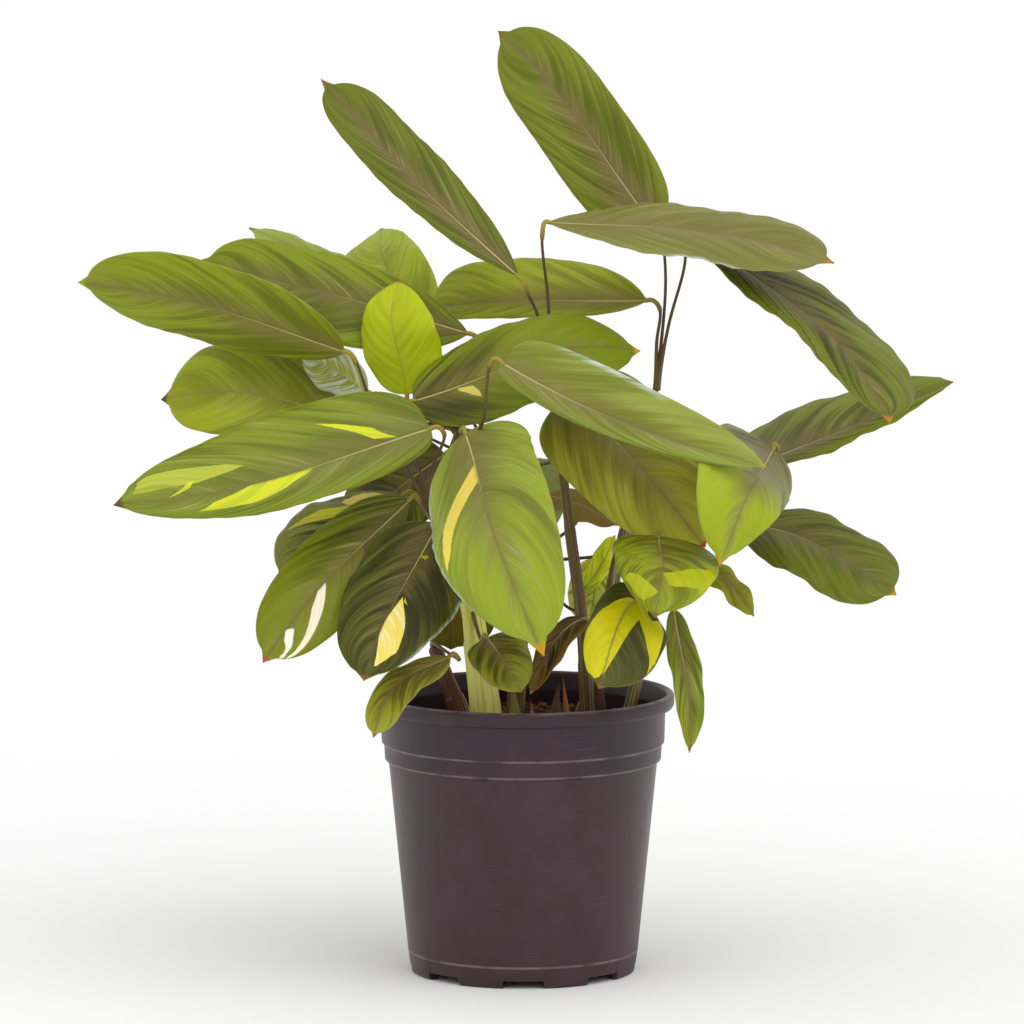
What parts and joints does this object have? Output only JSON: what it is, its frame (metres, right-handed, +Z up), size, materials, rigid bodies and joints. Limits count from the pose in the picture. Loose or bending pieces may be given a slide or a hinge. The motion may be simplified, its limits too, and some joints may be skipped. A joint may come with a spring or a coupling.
{
  "type": "potted golden mosaic calathea",
  "caption": "Prayer plant with long oblong patterned leaves on thin jointed stalks, some marbled with yellow and cream, standing in a round dark plastic nursery pot with a stepped rolled rim",
  "frame": {"origin": "on the pot's axis, in the plane of the foot ring that the pot stands on, under the middle of the whole plant", "axes": "+Z up, the front of the picture towards -Y, +X to the right seen from the front"},
  "size_m": [0.4935, 0.3563, 0.5271],
  "materials": {
    "pot": "satin",
    "soil": "matte",
    "olive": "satin",
    "fresh": "satin",
    "mosaic": "satin",
    "lime": "satin",
    "silver": "satin",
    "yellow": "satin",
    "withered": "matte",
    "stem": "satin",
    "red_stem": "matte",
    "husk": "matte",
    "bud": "satin"
  },
  "bodies": {
    "root": {"pot": "pot", "soil": "soil", "shoot_tall": "stem", "shoot_centre": "stem", "shoot_thick": "stem", "shoot_red": "red_stem", "shoot_right": "stem", "shoot_back": "stem", "sheath_green": "stem", "sheath_brown": "husk", "sheath_tall": "husk", "bud_pink": "bud", "bract_dry": "husk", "leaf_crown": "olive", "leaf_flat": "olive", "leaf_shoulder": "olive", "leaf_reach_right": "olive", "leaf_low_right": "olive", "leaf_under_right": "olive", "leaf_spear": "olive", "leaf_screen": "olive", "leaf_middle": "fresh", "leaf_sliver": "silver", "leaf_upper_left": "olive", "leaf_reach_left": "fresh", "leaf_mid_left": "fresh", "leaf_silver": "silver", "leaf_mosaic": "mosaic", "leaf_low_left_back": "mosaic", "leaf_low_left": "mosaic", "leaf_low_centre": "mosaic", "leaf_front": "mosaic", "leaf_front_right": "olive", "leaf_shade": "olive", "leaf_bib": "fresh", "leaf_patch": "mosaic", "leaf_yellow": "yellow", "leaf_tail": "olive", "leaf_edge": "olive", "leaf_close": "olive", "leaf_old": "withered", "leaf_narrow": "lime", "leaf_pale": "fresh", "leaf_brown": "withered", "leaf_new": "lime", "leaf_back_left": "fresh", "leaf_behind_low": "olive", "leaf_dark_left": "olive", "leaf_rear_left": "olive", "leaf_rear_right": "olive", "leaf_rear_centre": "fresh", "leaf_rear_low": "mosaic", "leaf_rear_side": "olive"}
  },
  "joints": []
}
